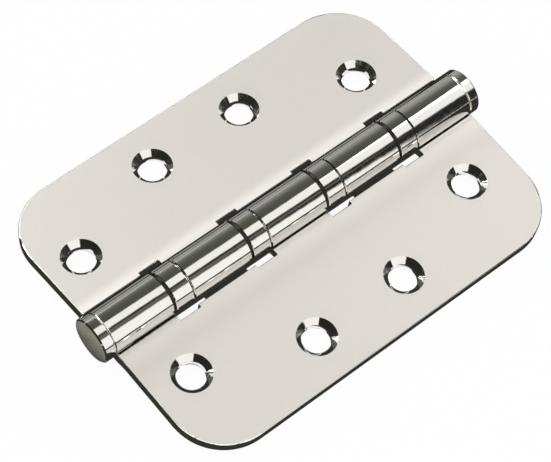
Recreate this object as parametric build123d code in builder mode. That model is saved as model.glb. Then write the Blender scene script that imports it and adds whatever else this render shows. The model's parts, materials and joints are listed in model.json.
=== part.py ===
from build123d import *
import os
from math import asin, atan2, cos, hypot, pi, sin, sqrt

# Butt hinge with ball bearings between its knuckles, lying open with the countersunk faces up.
# Millimetres. Y runs along the pin and Z is up. The origin is on the ground, below the pin's middle.
# Leaf A has three knuckles and reaches towards +X. Leaf B has two and reaches towards -X.

# Leaves
LEAF_HEIGHT = 100.0
LEAF_REACH = 37.5
SHEET = 2.8
CORNER_RADIUS = 13.0
INNER_CORNER_RADIUS = 0.6
EDGE_ROUND = 0.35

# Rolled knuckles
KNUCKLES = 5
BARREL_DIAMETER = 10.8
FACE_DROP = 0.2
BEND_RADIUS = 6.0
SEAM_GAP = 0.5
RIM_CHAMFER = 0.2
KNUCKLE_CLEARANCE = 1.0
NOTCH_CLEARANCE = 1.75
NOTCH_PAST_BEND = 0.1

# Screw holes: distances from the pin axis, spacings along the pin, and each leaf's shift along it
HOLE_DIAMETER = 6.6
COUNTERSINK_DIAMETER = 9.15
COUNTERSINK_ANGLE = 90.0
OUTER_HOLE_REACH = 18.1
OUTER_HOLE_SPACING = 77.8
INNER_HOLE_REACH = 27.3
INNER_HOLE_SPACING = 24.6
HOLE_SHIFT_A = -1.2
HOLE_SHIFT_B = -2.4

# Pin and end caps
RUNNING_CLEARANCE = 0.05
SEAT_CLEARANCE = 0.02
PIN_END_PLAY = 0.2
PIN_LEAD = 0.6
CAP_THICKNESS = 2.7
CAP_CHAMFER = 0.35
CAP_GROOVE = 0.3
SPIGOT_LENGTH = 6.0
SPIGOT_LEAD = 0.5

# Ball bearings, each with a wide gap below its shroud and a fine one above
BEARING_SPACE = 5.5
SHROUD_WALL = 0.5
SHROUD_CHAMFER = 0.15
LOWER_GAP = 0.65
UPPER_GAP = 0.25
BALL_DIAMETER = 1.5
BALLS_PER_BEARING = 6
BALL_CLEARANCE = 0.05
RACE_GAP = 0.8
RACE_BORE_CLEARANCE = 0.1
RACE_RIM_CLEARANCE = 0.15

# Sizes that follow
BARREL_RADIUS = BARREL_DIAMETER / 2
BORE_RADIUS = BARREL_RADIUS - SHEET
PIN_RADIUS = BORE_RADIUS - RUNNING_CLEARANCE
FACE_LEVEL = -FACE_DROP
BACK_LEVEL = FACE_LEVEL - SHEET
DIP_LEVEL = BACK_LEVEL - BEND_RADIUS
FLAT_START = sqrt((BARREL_RADIUS + BEND_RADIUS) ** 2 - DIP_LEVEL**2)
KNUCKLE_CUT = BARREL_RADIUS + KNUCKLE_CLEARANCE
BEARINGS = KNUCKLES - 1
KNUCKLE_LENGTH = (LEAF_HEIGHT - BEARINGS * BEARING_SPACE) / KNUCKLES
KNUCKLE_PITCH = KNUCKLE_LENGTH + BEARING_SPACE
KNUCKLE_MIDDLES = [(i - (KNUCKLES - 1) / 2) * KNUCKLE_PITCH for i in range(KNUCKLES)]
BEARING_MIDDLES = [(i - (BEARINGS - 1) / 2) * KNUCKLE_PITCH for i in range(BEARINGS)]
SHROUD_LENGTH = BEARING_SPACE - LOWER_GAP - UPPER_GAP
SHROUD_BORE_RADIUS = BARREL_RADIUS - SHROUD_WALL
RACE_BORE_RADIUS = PIN_RADIUS + RACE_BORE_CLEARANCE
BALL_CIRCLE_RADIUS = (RACE_BORE_RADIUS + SHROUD_BORE_RADIUS) / 2

# A notch clears the barrel and ends in the flat sheet, past the bend.
NOTCH_CUT = max(BARREL_RADIUS + NOTCH_CLEARANCE, FLAT_START + NOTCH_PAST_BEND)

# At rest the barrel and both outer edges touch the ground, so each leaf slopes down by this angle.
AXIS_HEIGHT = BARREL_RADIUS
DROOP = asin(BARREL_RADIUS / hypot(LEAF_REACH, BACK_LEVEL)) - atan2(-BACK_LEVEL, LEAF_REACH)

# Plane across the middle of the pin, facing up the pin
ACROSS = Plane(origin=(0, 0, AXIS_HEIGHT), x_dir=(1, 0, 0), z_dir=(0, 1, 0))


def leaf_planes(side):
    """Plan and profile planes of a leaf, both through the pin axis; side is 1 for A and -1 for B."""
    out = Vector(side * cos(DROOP), 0, -sin(DROOP))
    up = Vector(side * sin(DROOP), 0, cos(DROOP))
    plan = Plane(origin=ACROSS.origin, x_dir=out, z_dir=up)
    profile = Plane(origin=ACROSS.origin, x_dir=out, z_dir=out.cross(up))
    return plan, profile


def arc_about(centre, radius, *angles):
    """Arc about a centre through a start, a middle and an end angle, in radians."""
    ThreePointArc(*[(centre[0] + radius * cos(a), centre[1] + radius * sin(a)) for a in angles])


def rolled_section():
    """Outline of a leaf's section: a flat sheet that dips under the pin and rolls back to its own face."""
    eye = (0, 0)
    dip = (FLAT_START, DIP_LEVEL)
    top = pi / 2
    join = atan2(dip[1], dip[0])
    tip = asin((FACE_LEVEL + SEAM_GAP) / BARREL_RADIUS)
    back = (join + tip) / 2 + pi
    half_dip = (top + join + pi) / 2
    Line((LEAF_REACH, FACE_LEVEL), (dip[0], FACE_LEVEL))
    arc_about(dip, BEND_RADIUS + SHEET, top, half_dip, join + pi)
    arc_about(eye, BORE_RADIUS, join, back, tip)
    Line((BORE_RADIUS * cos(tip), BORE_RADIUS * sin(tip)), (BARREL_RADIUS * cos(tip), BARREL_RADIUS * sin(tip)))
    arc_about(eye, BARREL_RADIUS, tip, back, join)
    arc_about(dip, BEND_RADIUS, join + pi, half_dip, top)
    Line((dip[0], BACK_LEVEL), (LEAF_REACH, BACK_LEVEL))
    Line((LEAF_REACH, BACK_LEVEL), (LEAF_REACH, FACE_LEVEL))


def cut_back(reach, length, middles):
    """Rectangles that clear the barrel's side of a leaf as far out as reach."""
    inner = -BARREL_DIAMETER
    with Locations(*[((inner + reach) / 2, middle) for middle in middles]):
        Rectangle(reach - inner, length)


def hole_places(shift):
    """Centres of the screw holes on a leaf's face, in its plan plane."""
    rows = ((OUTER_HOLE_REACH, OUTER_HOLE_SPACING), (INNER_HOLE_REACH, INNER_HOLE_SPACING))
    return [(reach, shift + end * gap / 2, FACE_LEVEL) for reach, gap in rows for end in (-1, 1)]


def is_inner_rim(edge):
    """Whether an edge is the outer rim of a knuckle beside a bearing."""
    if edge.geom_type != GeomType.CIRCLE:
        return False
    beside_bearing = abs(edge.center().Y) < LEAF_HEIGHT / 2 - RIM_CHAMFER - EDGE_ROUND
    return beside_bearing and abs(edge.radius - BARREL_RADIUS) < RIM_CHAMFER / 2


def is_inner_corner(edge):
    """Whether an edge lies on one of the leaf's two end faces, close to the barrel."""
    on_end = abs(abs(edge.center().Y) - LEAF_HEIGHT / 2) < EDGE_ROUND / 2
    return on_end and abs(edge.center().X) < BARREL_DIAMETER


def make_leaf(side, own_knuckles, hole_shift):
    """One leaf, a single stamped and rolled sheet with its knuckles, notches and countersunk holes."""
    plan, profile = leaf_planes(side)
    plan_up = Axis(plan.origin, plan.z_dir)
    plan_out = Axis(plan.origin, plan.x_dir)
    others = [middle for i, middle in enumerate(KNUCKLE_MIDDLES) if i not in own_knuckles]
    with BuildPart(plan) as leaf:
        with BuildSketch(profile):
            with BuildLine():
                rolled_section()
            make_face()
        extrude(amount=LEAF_HEIGHT / 2, both=True)
        fillet(leaf.edges().filter_by(plan_up), CORNER_RADIUS)
        with BuildSketch(plan):
            cut_back(NOTCH_CUT, BEARING_SPACE, BEARING_MIDDLES)
            cut_back(KNUCKLE_CUT, KNUCKLE_LENGTH, others)
        extrude(amount=BARREL_DIAMETER, both=True, mode=Mode.SUBTRACT)
        inner_corners = leaf.edges().filter_by(plan_up).filter_by(is_inner_corner)
        if inner_corners:
            fillet(inner_corners, INNER_CORNER_RADIUS)
        edge_faces = leaf.faces().filter_by(GeomType.PLANE).filter_by(plan_out)
        fillet(edge_faces.edges().filter_by(Axis.Y), EDGE_ROUND)
        chamfer(leaf.edges().filter_by(is_inner_rim), RIM_CHAMFER)
        with Locations(*hole_places(side * hole_shift)):
            CounterSinkHole(HOLE_DIAMETER / 2, COUNTERSINK_DIAMETER / 2, SHEET, COUNTERSINK_ANGLE)
    return leaf.part


def make_pin():
    """Plain round pin between the spigots of the two end caps."""
    length = LEAF_HEIGHT - 2 * (SPIGOT_LENGTH + PIN_END_PLAY)
    with BuildPart() as pin:
        with BuildSketch(ACROSS):
            Circle(PIN_RADIUS)
        extrude(amount=length / 2, both=True)
        chamfer(pin.edges().filter_by(GeomType.CIRCLE), PIN_LEAD)
    return pin.part


def make_end_cap(end):
    """Flat button on a spigot that sits in the bore of an end knuckle; end is -1 below and 1 above."""
    seat = Plane(origin=(0, end * LEAF_HEIGHT / 2, AXIS_HEIGHT), x_dir=(1, 0, 0), z_dir=(0, end, 0))
    with BuildPart() as cap:
        with BuildSketch(seat):
            Circle(BORE_RADIUS - SEAT_CLEARANCE)
        extrude(amount=-SPIGOT_LENGTH)
        chamfer(cap.edges().sort_by(Axis(seat.origin, seat.z_dir))[0], SPIGOT_LEAD)
        with BuildSketch(seat):
            Circle(BARREL_RADIUS - CAP_GROOVE)
        extrude(amount=CAP_GROOVE)
        with BuildSketch(seat.offset(CAP_GROOVE)):
            Circle(BARREL_RADIUS)
        extrude(amount=CAP_THICKNESS - CAP_GROOVE)
        chamfer(cap.edges().sort_by(Axis(seat.origin, seat.z_dir))[-1], CAP_CHAMFER)
    return cap.part


def make_shroud(middle):
    """Ring that covers one bearing, flush with the knuckles."""
    foot = ACROSS.offset(middle - BEARING_SPACE / 2 + LOWER_GAP)
    with BuildPart() as shroud:
        with BuildSketch(foot):
            Circle(BARREL_RADIUS)
            Circle(SHROUD_BORE_RADIUS, mode=Mode.SUBTRACT)
        extrude(amount=SHROUD_LENGTH)
        chamfer(shroud.edges().filter_by(GeomType.CIRCLE).group_by(SortBy.RADIUS)[-1], SHROUD_CHAMFER)
    return shroud.part


def make_race(middle, end, rim_clearance):
    """Ring with a conical groove, on the knuckle below (end -1) or above (end 1) a bearing's balls."""
    section = Plane(origin=(0, middle, AXIS_HEIGHT), x_dir=(1, 0, 0), z_dir=(0, 0, 1))
    rim_radius = SHROUD_BORE_RADIUS - rim_clearance
    face = RACE_GAP / 2
    groove = (BALL_DIAMETER / 2 + BALL_CLEARANCE) * sqrt(2)
    groove_half_width = groove - face
    with BuildPart() as race:
        with BuildSketch(section):
            with BuildLine():
                Polyline(
                    (RACE_BORE_RADIUS, end * face),
                    (BALL_CIRCLE_RADIUS - groove_half_width, end * face),
                    (BALL_CIRCLE_RADIUS, end * groove),
                    (BALL_CIRCLE_RADIUS + groove_half_width, end * face),
                    (rim_radius, end * face),
                    (rim_radius, end * BEARING_SPACE / 2),
                    (RACE_BORE_RADIUS, end * BEARING_SPACE / 2),
                    close=True,
                )
            make_face()
        revolve(axis=Axis(ACROSS.origin, ACROSS.z_dir))
    return race.part


def make_balls(middle):
    """Balls of one bearing, evenly spaced around the pin."""
    with BuildPart(ACROSS.offset(middle)) as balls:
        with PolarLocations(BALL_CIRCLE_RADIUS, BALLS_PER_BEARING):
            Sphere(BALL_DIAMETER / 2)
    return balls.part


pieces = {
    "leaf_three_knuckles": make_leaf(1, range(0, KNUCKLES, 2), HOLE_SHIFT_A),
    "leaf_two_knuckles": make_leaf(-1, range(1, KNUCKLES, 2), HOLE_SHIFT_B),
    "hinge_pin": make_pin(),
    "end_cap_lower": make_end_cap(-1),
    "end_cap_upper": make_end_cap(1),
}
for number, bearing_middle in enumerate(BEARING_MIDDLES, start=1):
    pieces[f"bearing_{number}_shroud"] = make_shroud(bearing_middle)
    pieces[f"bearing_{number}_lower_race"] = make_race(bearing_middle, -1, RACE_RIM_CLEARANCE)
    pieces[f"bearing_{number}_upper_race"] = make_race(bearing_middle, 1, SEAT_CLEARANCE)
    pieces[f"bearing_{number}_balls"] = make_balls(bearing_middle)

os.makedirs("parts", exist_ok=True)
for name, piece in pieces.items():
    piece.label = name
    export_step(piece, f"parts/{name}.step")
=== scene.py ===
"""A nickel-plated butt hinge with ball bearings, lying open on a white table."""
import json
from math import cos, radians, tan

import bpy
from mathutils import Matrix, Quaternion, Vector


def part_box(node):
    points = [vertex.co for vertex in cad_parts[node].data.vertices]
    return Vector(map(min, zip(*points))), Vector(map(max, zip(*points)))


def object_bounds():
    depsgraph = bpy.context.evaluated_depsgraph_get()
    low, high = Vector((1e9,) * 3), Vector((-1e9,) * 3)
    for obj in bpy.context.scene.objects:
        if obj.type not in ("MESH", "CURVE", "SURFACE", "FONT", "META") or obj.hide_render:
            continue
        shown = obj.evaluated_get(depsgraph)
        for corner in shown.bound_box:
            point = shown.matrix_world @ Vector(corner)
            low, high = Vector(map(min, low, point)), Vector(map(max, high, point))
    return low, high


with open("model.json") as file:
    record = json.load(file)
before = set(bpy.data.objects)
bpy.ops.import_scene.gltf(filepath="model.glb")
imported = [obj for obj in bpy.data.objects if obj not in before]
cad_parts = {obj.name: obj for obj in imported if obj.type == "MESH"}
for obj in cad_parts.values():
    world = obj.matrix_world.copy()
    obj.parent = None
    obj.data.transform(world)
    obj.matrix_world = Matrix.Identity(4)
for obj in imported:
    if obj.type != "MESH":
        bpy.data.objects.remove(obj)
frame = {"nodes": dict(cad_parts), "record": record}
cad_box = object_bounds()
bpy.ops.object.select_all(action="DESELECT")
nodes = frame["nodes"]
shrouds = [name for name in nodes if name.endswith("_shroud")]
balls = [name for name in nodes if name.endswith("_balls")]
hidden_steel = [name for name in nodes if name.endswith("_race")] + ["hinge_pin"]

# The camera, in metres and degrees, its sensor and lens in millimetres; azimuth 0 looks along +Y
CAMERA_PLACE = Vector((0.18334, -0.19859, 0.44145))
CAMERA_AZIMUTH = 42.97
CAMERA_ELEVATION = 58.72
CAMERA_ROLL = 8.35
CAMERA_NEAREST = 0.01
CAMERA_FURTHEST = 20
SENSOR_WIDTH = 36.0
LENS = 154.94

# The hinge, in metres and degrees: the pin's height, each leaf's slope at rest, sheet and countersinks
PIN_HEIGHT = 0.0054
BARREL_RADIUS = 0.0054
LEAF_SLOPE = 3.679
SHEET = 0.0028
COUNTERSINK_RADIUS = 0.004575
BORE_RADIUS = 0.0033
MILLIMETRE = 0.001

# Colours of the metals, with a painted highlight for the leaves' roots and painted shade for the
# hidden steel
BRIGHT_NICKEL = (0.90, 0.89, 0.86)
SATIN_NICKEL = (0.825, 0.787, 0.770)
# A lighter colour along each leaf's root: a painted highlight
PAINTED_ROOT_HIGHLIGHT = (1.0, 0.956, 0.936)
DULL_NICKEL = (0.80, 0.79, 0.74)
# Near-black steel for the races and pin: painted shade, so that the gaps between the knuckles look
# dark
STEEL_DARKENED_AS_SHADE = (0.05, 0.048, 0.044)
BALL_STEEL = (0.75, 0.75, 0.76)

# Their roughness, from mirror bright to satin
LEAF_ROUGHNESS = (0.07, 0.58)
CAP_ROUGHNESS = (0.09, 0.25)
SHROUD_ROUGHNESS = 0.07
DARK_STEEL_ROUGHNESS = 0.40
BALL_ROUGHNESS = 0.06

# Where a surface counts as flat: the cosine of its turn from the leaf's face or the cap's end
LEAF_FLAT = (0.88, 0.97)
CAP_FLAT = (0.80, 0.95)

# Distances from the pin, in metres: where mirror turns to satin, and the painted highlight along each
# root
SATIN_FROM = BARREL_RADIUS + 0.0001
SATIN_TO = BARREL_RADIUS + 0.0012
ROOT_FROM = BARREL_RADIUS + 0.0016
ROOT_TO_NEAR_LEAF = BARREL_RADIUS + 0.0068
ROOT_TO_FAR_LEAF = BARREL_RADIUS + 0.0048

# Unevenness of the finish: waves per metre, and the change of roughness, a share of it for the haze
NOISE_RANGE = (0.3, 0.7)
WEAR_SCALE = 900.0
WEAR = 0.02
HAZE_SCALE = 700.0
HAZE_SHARE = 0.2
MOTTLE_SCALE = 420.0
MOTTLE = 0.06

# Marks of the polishing wheel: waves per metre, and heights in metres
WAVE_SCALE = 260.0
WAVE_DETAIL = 1.0
WAVE_HEIGHT = 0.00002
STREAK_SCALE = 2200.0
STREAK_DETAIL = 3.0
STREAK_STRETCH = 0.06
STREAK_SHARE = 0.08

# The white table and the dark patch of it under the hinge, in metres
TABLE_SIZE = 6.0
TABLE_LEVEL = -0.00004
PATCH_LEVEL = -0.00002
PAPER_WHITE = (0.9, 0.9, 0.9)
PAPER_GLOW = 0.95
SHADOW_REACH = 0.05
SHADOW_INSET = 0.0006
SHADOW_SAMPLES = 128
SHADOW_SKY = (0.20, 0.30)
SHADOW_GLOW = 0.02

# The dark mat that the hinge's edges mirror, in metres
MAT_RADIUS = 0.30
MAT_LEVEL = -0.00001
MAT_SHADE = (0.035, 0.034, 0.028)

# White paper that shows through the near leaf's notches, in metres
NOTCH_PAPER_FROM = 0.0040
NOTCH_PAPER_TO = 0.0075
NOTCH_PAPER_BEFORE = 0.0008
NOTCH_PAPER_BEHIND = 0.0040

# White paper seen through the screw holes and mirrored in them, in metres
HOLE_SIGHT = 0.0110
HOLE_STRIP = 0.0040

# The card that the barrel's far side mirrors: its place in metres, its fade in shares of its width
FAR_CARD_FROM = -0.0058
FAR_CARD_RISE = 0.0002
FAR_CARD_FADE = (0.37, 0.20)
FAR_CARD_GLOW = (0.01, 0.27)

# The card that the lower cap mirrors: its place in metres, its glow from the cap outwards, dim near
# the cap as a painted contact shadow
CAP_CARD_MIDDLE = -0.002
CAP_CARD_WIDTH = 0.016
CAP_CARD_LENGTH = 0.006
CAP_CARD_TINT = (1.0, 0.99, 0.82)
CAP_CARD_GLOW = (0.10, 0.46)
CAP_CARD_MOTTLE = (0.75, 1.25)
CAP_CARD_MOTTLE_SCALE = 4.0

# The studio: a tunnel of panels round the viewing direction, in metres, mirrored in the metal only
TUNNEL_RADIUS = 0.9
TUNNEL_LENGTH = 5.4
ROUND_SIDES = 96

# Shades of the tunnel's panels by their place, in tunnel radii towards the camera
ROOF_PANELS = (
    (-1.70, (0.31, 0.31, 0.29)),
    (-1.35, (0.21, 0.21, 0.195)),
    (-1.00, (0.110, 0.115, 0.100)),
    (-0.72, (0.085, 0.09, 0.075)),
    (-0.37, (0.070, 0.075, 0.060)),
    (-0.33, (0.95, 0.95, 0.90)),
    (0.01, (0.95, 0.95, 0.90)),
    (0.03, (0.020, 0.020, 0.017)),
)
RIGHT_PANELS = (
    (-2.20, (2.60, 2.60, 2.55)),
    (-1.30, (2.55, 2.55, 2.50)),
    (-0.95, (1.50, 1.50, 1.47)),
    (-0.70, (0.76, 0.76, 0.74)),
    (-0.37, (3.40, 3.40, 3.33)),
    (-0.33, (0.95, 0.95, 0.92)),
    (0.01, (0.95, 0.95, 0.92)),
    (0.03, (0.020, 0.020, 0.017)),
)
LEFT_PANELS = (
    (-1.22, (0.42, 0.42, 0.40)),
    (-1.10, (9.20, 9.20, 9.02)),
    (0.01, (9.20, 9.20, 9.02)),
    (0.03, (0.020, 0.020, 0.017)),
)
FRONT_PANELS = (
    (0.25, (0.020, 0.020, 0.017)),
    (0.28, (1.00, 0.99, 0.96)),
)
LOW_PANELS = (
    (-1.20, (0.30, 0.30, 0.28)),
    (-0.40, (0.040, 0.040, 0.034)),
    (0.30, (0.020, 0.020, 0.017)),
)

# A panel overhead on the camera's side, which the barrel mirrors when seen from behind
FRONT_ROOF_PANELS = (
    (0.40, (0.12, 0.12, 0.11)),
    (0.50, (2.50, 2.48, 2.40)),
)

# Where one panel turns into the next, in tunnel radii to the right, upwards or towards the camera
RIGHT_EDGE = (0.24, 0.28)
LEFT_EDGE = (-0.70, -0.75)
ROOF_FOOT = (0.42, 0.55)
FRONT_START = (0.10, 0.12)
FRONT_RIGHT_EDGE = (0.20, 0.30)
FRONT_ROOF_SIDE = (-0.67, -0.73)
FRONT_ROOF_END = (0.94, 1.04)
FRONT_ROOF_FOOT = (0.50, 0.62)

# Slanting edges on the camera's side, by the place towards the camera plus the slant times that aside
FRONT_SLANT = 1.2
FRONT_ROOF_EDGE = (1.30, 1.42)
FRONT_EDGE = (1.05, 1.15)


def add_node(tree, kind, **settings):
    """A shader node with its properties set."""
    made = tree.nodes.new(kind)
    for name, value in settings.items():
        setattr(made, name, value)
    return made


def new_material(name):
    """An empty node material, its tree and its output's surface socket."""
    material = bpy.data.materials.new(name)
    material.use_nodes = True
    tree = material.node_tree
    tree.nodes.clear()
    output = add_node(tree, "ShaderNodeOutputMaterial")
    return material, tree, output.inputs["Surface"]


def math_node(tree, operation, first, second=None):
    """One sum on one or two values, each a number or a socket."""
    made = add_node(tree, "ShaderNodeMath", operation=operation)
    for socket, value in zip(made.inputs, (first, second)):
        if isinstance(value, (int, float)):
            socket.default_value = value
        elif value is not None:
            tree.links.new(value, socket)
    return made.outputs["Value"]


def map_range(tree, value, low, high, to_low, to_high):
    """A smooth step of a value from one range to another."""
    made = add_node(tree, "ShaderNodeMapRange", interpolation_type="SMOOTHSTEP")
    tree.links.new(value, made.inputs["Value"])
    made.inputs["From Min"].default_value = low
    made.inputs["From Max"].default_value = high
    made.inputs["To Min"].default_value = to_low
    made.inputs["To Max"].default_value = to_high
    return made.outputs["Result"]


def noise(tree, coordinates, scale, detail=2.0):
    """Noise on an object's own coordinates, scale in waves per unit of them."""
    made = add_node(tree, "ShaderNodeTexNoise")
    tree.links.new(coordinates, made.inputs["Vector"])
    made.inputs["Scale"].default_value = scale
    made.inputs["Detail"].default_value = detail
    return made.outputs["Fac"]


def mix_colour(tree, share, first, second):
    """A mix of two colours by a socket; each colour may be three numbers or a socket."""
    made = add_node(tree, "ShaderNodeMix", data_type="RGBA")
    tree.links.new(share, made.inputs["Factor"])
    for socket, colour in ((made.inputs[6], first), (made.inputs[7], second)):
        if isinstance(colour, tuple):
            socket.default_value = (*colour, 1.0)
        else:
            tree.links.new(colour, socket)
    return made.outputs[2]


def metal(tree, surface):
    """A metal shader joined to the material's output."""
    shader = add_node(tree, "ShaderNodeBsdfPrincipled")
    shader.inputs["Metallic"].default_value = 1.0
    tree.links.new(shader.outputs["BSDF"], surface)
    return shader


def bump(tree, height, distance, shader):
    """A fine relief, distance in metres, on a shader's normals."""
    made = add_node(tree, "ShaderNodeBump")
    made.inputs["Distance"].default_value = distance
    tree.links.new(height, made.inputs["Height"])
    tree.links.new(made.outputs["Normal"], shader.inputs["Normal"])


def polishing_marks(tree, places, shader):
    """A faint waviness with fine streaks along the pin, left by the polishing wheel."""
    along_pin = add_node(tree, "ShaderNodeMapping")
    along_pin.inputs["Scale"].default_value = (1.0, STREAK_STRETCH, 1.0)
    tree.links.new(places.outputs["Object"], along_pin.inputs["Vector"])
    streaks = noise(tree, along_pin.outputs["Vector"], STREAK_SCALE, STREAK_DETAIL)
    waves = noise(tree, places.outputs["Object"], WAVE_SCALE, WAVE_DETAIL)
    height = math_node(tree, "ADD", math_node(tree, "MULTIPLY", streaks, STREAK_SHARE), waves)
    bump(tree, height, WAVE_HEIGHT, shader)


def leaf_nickel(name, side, root_to):
    """Nickel of one leaf: satin on its flat faces with a painted highlight at the root, mirror bright
    elsewhere.
    """
    material, tree, surface = new_material(name)
    places = add_node(tree, "ShaderNodeTexCoord")
    shader = metal(tree, surface)

    upright = add_node(tree, "ShaderNodeVectorMath", operation="DOT_PRODUCT")
    tree.links.new(places.outputs["Normal"], upright.inputs[0])
    tilt = Quaternion((0, 1, 0), side * radians(LEAF_SLOPE))
    upright.inputs[1].default_value = tilt @ Vector((0, 0, 1))
    facing = math_node(tree, "ABSOLUTE", upright.outputs["Value"])
    flatness = map_range(tree, facing, *LEAF_FLAT, 0.0, 1.0)

    from_pin = add_node(tree, "ShaderNodeVectorMath", operation="SUBTRACT")
    tree.links.new(places.outputs["Object"], from_pin.inputs[0])
    from_pin.inputs[1].default_value = (0, 0, PIN_HEIGHT)
    across = add_node(tree, "ShaderNodeVectorMath", operation="MULTIPLY")
    tree.links.new(from_pin.outputs["Vector"], across.inputs[0])
    across.inputs[1].default_value = (1, 0, 1)
    distance = add_node(tree, "ShaderNodeVectorMath", operation="LENGTH")
    tree.links.new(across.outputs["Vector"], distance.inputs[0])
    reach = distance.outputs["Value"]
    off_barrel = map_range(tree, reach, SATIN_FROM, SATIN_TO, 0.0, 1.0)
    satin = math_node(tree, "MULTIPLY", flatness, off_barrel)

    # Painted highlight: the base colour turns lighter towards the root
    painted_highlight = map_range(tree, reach, ROOT_FROM, root_to, 1.0, 0.0)
    face = mix_colour(tree, painted_highlight, SATIN_NICKEL, PAINTED_ROOT_HIGHLIGHT)
    plated = mix_colour(tree, satin, BRIGHT_NICKEL, face)
    tree.links.new(plated, shader.inputs["Base Color"])
    wear = noise(tree, places.outputs["Object"], WEAR_SCALE)
    worn = map_range(tree, wear, *NOISE_RANGE, -WEAR, WEAR)
    base = map_range(tree, satin, 0.0, 1.0, *LEAF_ROUGHNESS)
    tree.links.new(math_node(tree, "ADD", base, worn), shader.inputs["Roughness"])
    polishing_marks(tree, places, shader)
    return material


def bright_metal(name, colour, roughness):
    """One metal all over, with a faint haze and the polishing wheel's marks."""
    material, tree, surface = new_material(name)
    places = add_node(tree, "ShaderNodeTexCoord")
    shader = metal(tree, surface)
    shader.inputs["Base Color"].default_value = (*colour, 1.0)
    haze = noise(tree, places.outputs["Object"], HAZE_SCALE)
    clearest = roughness * (1 - HAZE_SHARE)
    haziest = roughness * (1 + HAZE_SHARE)
    hazed = map_range(tree, haze, *NOISE_RANGE, clearest, haziest)
    tree.links.new(hazed, shader.inputs["Roughness"])
    polishing_marks(tree, places, shader)
    return material


def cap_nickel():
    """Nickel of the end caps: bright round the rim, dull and mottled on the flat end."""
    material, tree, surface = new_material("nickel_cap")
    places = add_node(tree, "ShaderNodeTexCoord")
    shader = metal(tree, surface)
    facing = add_node(tree, "ShaderNodeSeparateXYZ")
    tree.links.new(places.outputs["Normal"], facing.inputs["Vector"])
    endwise = math_node(tree, "ABSOLUTE", facing.outputs["Y"])
    dull = map_range(tree, endwise, *CAP_FLAT, 0.0, 1.0)
    plated = mix_colour(tree, dull, BRIGHT_NICKEL, DULL_NICKEL)
    tree.links.new(plated, shader.inputs["Base Color"])
    mottle = noise(tree, places.outputs["Object"], MOTTLE_SCALE)
    uneven = map_range(tree, mottle, *NOISE_RANGE, -MOTTLE, MOTTLE)
    uneven = math_node(tree, "MULTIPLY", uneven, dull)
    base = map_range(tree, dull, 0.0, 1.0, *CAP_ROUGHNESS)
    tree.links.new(math_node(tree, "ADD", base, uneven), shader.inputs["Roughness"])
    polishing_marks(tree, places, shader)
    return material


def dress(material, *names):
    """Gives CAD nodes a finish."""
    for name in names:
        nodes[name].material_slots[0].material = material


def white_paper(name, shaded):
    """White paper, white to the camera and in the metal; dark in the hinge's shade if shaded."""
    material, tree, surface = new_material(name)
    paper = add_node(tree, "ShaderNodeBsdfDiffuse")
    paper.inputs["Color"].default_value = (*PAPER_WHITE, 1.0)
    glow = add_node(tree, "ShaderNodeEmission")
    if shaded:
        shadow = add_node(tree, "ShaderNodeAmbientOcclusion", samples=SHADOW_SAMPLES)
        shadow.inputs["Distance"].default_value = SHADOW_REACH
        open_sky = map_range(tree, shadow.outputs["AO"], *SHADOW_SKY, SHADOW_GLOW, 1.0)
        tree.links.new(open_sky, glow.inputs["Strength"])
    seen = add_node(tree, "ShaderNodeLightPath")
    direct = math_node(tree, "ADD", seen.outputs["Is Camera Ray"], seen.outputs["Is Glossy Ray"])
    direct = math_node(tree, "ADD", direct, seen.outputs["Is Transmission Ray"])
    share = math_node(tree, "MULTIPLY", math_node(tree, "MINIMUM", direct, 1.0), PAPER_GLOW)
    blend = add_node(tree, "ShaderNodeMixShader")
    tree.links.new(share, blend.inputs["Fac"])
    tree.links.new(paper.outputs["BSDF"], blend.inputs[1])
    tree.links.new(glow.outputs["Emission"], blend.inputs[2])
    tree.links.new(blend.outputs["Shader"], surface)
    return material


def table_top():
    """The white table, and the patch of it under the hinge, dark where little light gets in."""
    bpy.ops.mesh.primitive_plane_add(size=TABLE_SIZE, location=(0, 0, TABLE_LEVEL))
    table = bpy.context.object
    table.name = "table"
    table.data.materials.append(white_paper("white_table", False))
    bpy.ops.mesh.primitive_plane_add(size=1.0, location=(0, 0, PATCH_LEVEL))
    patch = bpy.context.object
    patch.name = "table_under_hinge"
    low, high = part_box("leaf_three_knuckles")
    patch.scale = (cad_box[1].x - cad_box[0].x, high.y - low.y - 2 * SHADOW_INSET, 1.0)
    patch.data.materials.append(white_paper("shaded_table", True))


def show_to_metal_only(card):
    """A studio card that shows only as a reflection in the metal."""
    card.visible_camera = False
    card.visible_diffuse = False
    card.visible_transmission = False
    card.visible_shadow = False


def table_mat():
    """A dark mat under the hinge, which its edges mirror."""
    bpy.ops.mesh.primitive_circle_add(
        vertices=ROUND_SIDES,
        radius=MAT_RADIUS,
        fill_type="NGON",
        location=(0, 0, MAT_LEVEL),
    )
    mat = bpy.context.object
    mat.name = "dark_mat"
    material, tree, surface = new_material("dark_mat")
    glow = add_node(tree, "ShaderNodeEmission")
    glow.inputs["Color"].default_value = (*MAT_SHADE, 1.0)
    tree.links.new(glow.outputs["Emission"], surface)
    mat.data.materials.append(material)
    show_to_metal_only(mat)


def notch_papers():
    """White paper that shows through the near leaf's notch beside each bearing."""
    white = white_paper("white_notch", False)
    for name in shrouds:
        low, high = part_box(name)
        start = low.y - NOTCH_PAPER_BEFORE
        end = high.y + NOTCH_PAPER_BEHIND
        bpy.ops.mesh.primitive_plane_add(size=1.0)
        paper = bpy.context.object
        paper.name = name.replace("shroud", "notch_paper")
        paper.location = ((NOTCH_PAPER_FROM + NOTCH_PAPER_TO) / 2, (start + end) / 2, 0.0)
        paper.scale = (NOTCH_PAPER_TO - NOTCH_PAPER_FROM, end - start, 1.0)
        paper.data.materials.append(white)
        paper.visible_glossy = False
        paper.visible_shadow = False


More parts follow.
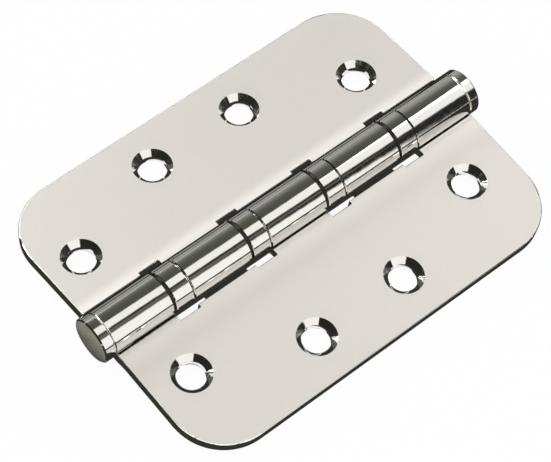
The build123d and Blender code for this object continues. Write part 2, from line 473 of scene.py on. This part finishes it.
def table_paper(name, place, facing, width, length, material):
    """A sheet of paper on the table, square to the sight line."""
    bpy.ops.mesh.primitive_plane_add(size=1.0, location=place)
    paper = bpy.context.object
    paper.name = name
    paper.rotation_euler = facing.to_euler()
    paper.scale = (width, length, 1.0)
    paper.data.materials.append(material)
    return paper


def hole_papers():
    """White paper seen through each screw hole, and a strip of it that the bore's far side mirrors.

    The strip lies past what the near side of the countersink mirrors, so that side stays dark. The
    countersink stands at half a right angle, which swaps the rise and the run of the sight line.
    """
    white = white_paper("white_hole", False)
    facing = Quaternion((0, 0, 1), radians(CAMERA_AZIMUTH))
    run = tan(radians(90 - CAMERA_ELEVATION))
    bore_depth = SHEET - (COUNTERSINK_RADIUS - BORE_RADIUS)
    for mount in frame["record"]["mounts"]:
        if mount["kind"] != "bolt_pattern":
            continue
        back = Vector(mount["pos_m"])
        spacing = mount["dims"]["pcd_mm"] * MILLIMETRE
        far = BORE_RADIUS - back.z * run
        middle = far - bore_depth * run / 2
        near = max(middle, (SHEET + back.z) / run - COUNTERSINK_RADIUS)
        for end, name in ((-spacing / 2, "lower"), (spacing / 2, "upper")):
            below = Vector((back.x, back.y + end, 0))
            label = mount["name"].replace("screws", name)
            seen = table_paper(label + "_seen", below, facing, HOLE_SIGHT, HOLE_SIGHT, white)
            seen.visible_glossy = False
            seen.visible_shadow = False
            beyond = below + facing @ Vector((0, (near + far) / 2, 0))
            strip = table_paper(label + "_mirrored", beyond, facing, HOLE_STRIP, far - near, white)
            show_to_metal_only(strip)


def far_leaf_card():
    """A dark card close above the far leaf, which the barrel's far side mirrors; clear from below."""
    low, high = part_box("leaf_two_knuckles")
    width = FAR_CARD_FROM - low.x
    bpy.ops.mesh.primitive_plane_add(size=1.0, location=((low.x + FAR_CARD_FROM) / 2, 0, 0))
    card = bpy.context.object
    card.name = "far_leaf_card"
    card.scale = (width / cos(radians(LEAF_SLOPE)), high.y - low.y, 1.0)
    card.rotation_euler = (0, radians(-LEAF_SLOPE), 0)
    card.location.z = PIN_HEIGHT + FAR_CARD_RISE + card.location.x * tan(radians(LEAF_SLOPE))
    material, tree, surface = new_material("far_leaf_card")
    places = add_node(tree, "ShaderNodeTexCoord")
    axes = add_node(tree, "ShaderNodeSeparateXYZ")
    tree.links.new(places.outputs["Object"], axes.inputs["Vector"])
    glow = add_node(tree, "ShaderNodeEmission")
    fade = map_range(tree, axes.outputs["X"], *FAR_CARD_FADE, *FAR_CARD_GLOW)
    tree.links.new(fade, glow.inputs["Strength"])
    below = add_node(tree, "ShaderNodeNewGeometry")
    clear = add_node(tree, "ShaderNodeBsdfTransparent")
    blend = add_node(tree, "ShaderNodeMixShader")
    tree.links.new(below.outputs["Backfacing"], blend.inputs["Fac"])
    tree.links.new(glow.outputs["Emission"], blend.inputs[1])
    tree.links.new(clear.outputs["BSDF"], blend.inputs[2])
    tree.links.new(blend.outputs["Shader"], surface)
    card.data.materials.append(material)
    show_to_metal_only(card)


def cap_card():
    """A grey card on the table before the lower cap, darker towards it as a painted contact shadow,
    which its flat end mirrors.
    """
    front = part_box("end_cap_lower")[0].y
    middle = (CAP_CARD_MIDDLE, front - CAP_CARD_LENGTH / 2, 0)
    bpy.ops.mesh.primitive_plane_add(size=1.0, location=middle)
    card = bpy.context.object
    card.name = "cap_card"
    card.scale = (CAP_CARD_WIDTH, CAP_CARD_LENGTH, 1.0)
    material, tree, surface = new_material("cap_card")
    places = add_node(tree, "ShaderNodeTexCoord")
    axes = add_node(tree, "ShaderNodeSeparateXYZ")
    tree.links.new(places.outputs["Object"], axes.inputs["Vector"])
    glow = add_node(tree, "ShaderNodeEmission")
    glow.inputs["Color"].default_value = (*CAP_CARD_TINT, 1.0)
    # Painted contact shadow: the card's glow is dimmest next to the cap
    fade = map_range(tree, axes.outputs["Y"], 0.5, -0.5, *CAP_CARD_GLOW)
    clouds = noise(tree, places.outputs["Object"], CAP_CARD_MOTTLE_SCALE)
    mottle = map_range(tree, clouds, *NOISE_RANGE, *CAP_CARD_MOTTLE)
    tree.links.new(math_node(tree, "MULTIPLY", fade, mottle), glow.inputs["Strength"])
    tree.links.new(glow.outputs["Emission"], surface)
    card.data.materials.append(material)
    show_to_metal_only(card)


def panel_ramp(tree, along, stops):
    """The shade of the tunnel's panels by their place along it, in tunnel radii towards the camera."""
    span = TUNNEL_LENGTH / TUNNEL_RADIUS
    share = add_node(tree, "ShaderNodeMapRange")
    share.inputs["From Min"].default_value = -span / 2
    share.inputs["From Max"].default_value = span / 2
    tree.links.new(along, share.inputs["Value"])
    panels = add_node(tree, "ShaderNodeValToRGB")
    tree.links.new(share.outputs["Result"], panels.inputs["Fac"])
    ramp = panels.color_ramp
    while len(ramp.elements) < len(stops):
        ramp.elements.new(0.5)
    for element, (place, shade) in zip(ramp.elements, stops):
        element.position = place / span + 0.5
        element.color = (*shade, 1.0)
    return panels.outputs["Color"]


def light_tunnel():
    """A tunnel of light and dark panels round the viewing direction, which the metal mirrors."""
    bpy.ops.mesh.primitive_cylinder_add(
        vertices=ROUND_SIDES,
        radius=TUNNEL_RADIUS,
        depth=TUNNEL_LENGTH,
        end_fill_type="NGON",
        rotation=(radians(90), 0, radians(CAMERA_AZIMUTH)),
    )
    tunnel = bpy.context.object
    tunnel.name = "light_tunnel"
    material, tree, surface = new_material("tunnel_panels")
    places = add_node(tree, "ShaderNodeTexCoord")
    axes = add_node(tree, "ShaderNodeSeparateXYZ")
    tree.links.new(places.outputs["Object"], axes.inputs["Vector"])
    right = math_node(tree, "DIVIDE", axes.outputs["X"], TUNNEL_RADIUS)
    height = math_node(tree, "DIVIDE", axes.outputs["Y"], TUNNEL_RADIUS)
    along = math_node(tree, "DIVIDE", axes.outputs["Z"], TUNNEL_RADIUS)

    roof = panel_ramp(tree, along, ROOF_PANELS)
    on_right = map_range(tree, right, *RIGHT_EDGE, 0.0, 1.0)
    roof = mix_colour(tree, on_right, roof, panel_ramp(tree, along, RIGHT_PANELS))
    on_left = map_range(tree, right, *LEFT_EDGE, 0.0, 1.0)
    roof = mix_colour(tree, on_left, roof, panel_ramp(tree, along, LEFT_PANELS))
    low = panel_ramp(tree, along, LOW_PANELS)
    raised = map_range(tree, height, *ROOF_FOOT, 0.0, 1.0)
    back = mix_colour(tree, raised, low, roof)

    aside = math_node(tree, "MULTIPLY", math_node(tree, "ABSOLUTE", right), FRONT_SLANT)
    outward = math_node(tree, "ADD", along, aside)
    overhead = map_range(tree, outward, *FRONT_ROOF_EDGE, 1.0, 0.0)
    before_end = map_range(tree, along, *FRONT_ROOF_END, 1.0, 0.0)
    overhead = math_node(tree, "MULTIPLY", overhead, before_end)
    above_foot = map_range(tree, height, *FRONT_ROOF_FOOT, 0.0, 1.0)
    overhead = math_node(tree, "MULTIPLY", overhead, above_foot)
    front_roof = panel_ramp(tree, along, FRONT_ROOF_PANELS)
    on_left = map_range(tree, right, *FRONT_ROOF_SIDE, 0.0, 1.0)
    front_roof = mix_colour(tree, on_left, front_roof, FRONT_ROOF_PANELS[-1][1])
    left_front = mix_colour(tree, overhead, low, front_roof)
    on_right = map_range(tree, right, *FRONT_RIGHT_EDGE, 0.0, 1.0)
    past_edge = map_range(tree, outward, *FRONT_EDGE, 0.0, 1.0)
    on_right = math_node(tree, "MULTIPLY", on_right, past_edge)
    front = mix_colour(tree, on_right, left_front, panel_ramp(tree, along, FRONT_PANELS))

    ahead = map_range(tree, along, *FRONT_START, 0.0, 1.0)
    glow = add_node(tree, "ShaderNodeEmission")
    tree.links.new(mix_colour(tree, ahead, back, front), glow.inputs["Color"])
    tree.links.new(glow.outputs["Emission"], surface)
    tunnel.data.materials.append(material)
    show_to_metal_only(tunnel)


def room_light():
    """Even white light from all round, and colours shown as they are."""
    world = bpy.data.worlds.new("white_room")
    bpy.context.scene.world = world
    world.use_nodes = True
    background = world.node_tree.nodes["Background"]
    background.inputs["Color"].default_value = (1, 1, 1, 1)
    background.inputs["Strength"].default_value = 1.0
    bpy.context.scene.view_settings.view_transform = "Standard"


def photo_camera():
    """The camera at the photo's place, turned by its azimuth, elevation and roll."""
    data = bpy.data.cameras.new("photo_camera")
    data.sensor_width = SENSOR_WIDTH
    data.lens = LENS
    data.clip_start = CAMERA_NEAREST
    data.clip_end = CAMERA_FURTHEST
    camera = bpy.data.objects.new("photo_camera", data)
    bpy.context.scene.collection.objects.link(camera)
    camera.location = CAMERA_PLACE
    camera.rotation_mode = "QUATERNION"
    turn = Quaternion((0, 0, 1), radians(CAMERA_AZIMUTH))
    tip = Quaternion((1, 0, 0), radians(90 - CAMERA_ELEVATION))
    roll = Quaternion((0, 0, 1), radians(CAMERA_ROLL))
    camera.rotation_quaternion = turn @ tip @ roll
    bpy.context.scene.camera = camera


photo_camera()
room_light()
table_top()
table_mat()
notch_papers()
hole_papers()
far_leaf_card()
cap_card()
light_tunnel()

dress(leaf_nickel("nickel_leaf_a", 1, ROOT_TO_NEAR_LEAF), "leaf_three_knuckles")
dress(leaf_nickel("nickel_leaf_b", -1, ROOT_TO_FAR_LEAF), "leaf_two_knuckles")
dress(cap_nickel(), "end_cap_lower", "end_cap_upper")
dress(bright_metal("nickel_shroud", BRIGHT_NICKEL, SHROUD_ROUGHNESS), *shrouds)
# The races and pin near black, as painted shade in the gaps between the knuckles
dress(bright_metal("painted_shade_steel", STEEL_DARKENED_AS_SHADE, DARK_STEEL_ROUGHNESS), *hidden_steel)
dress(bright_metal("ball_steel", BALL_STEEL, BALL_ROUGHNESS), *balls)
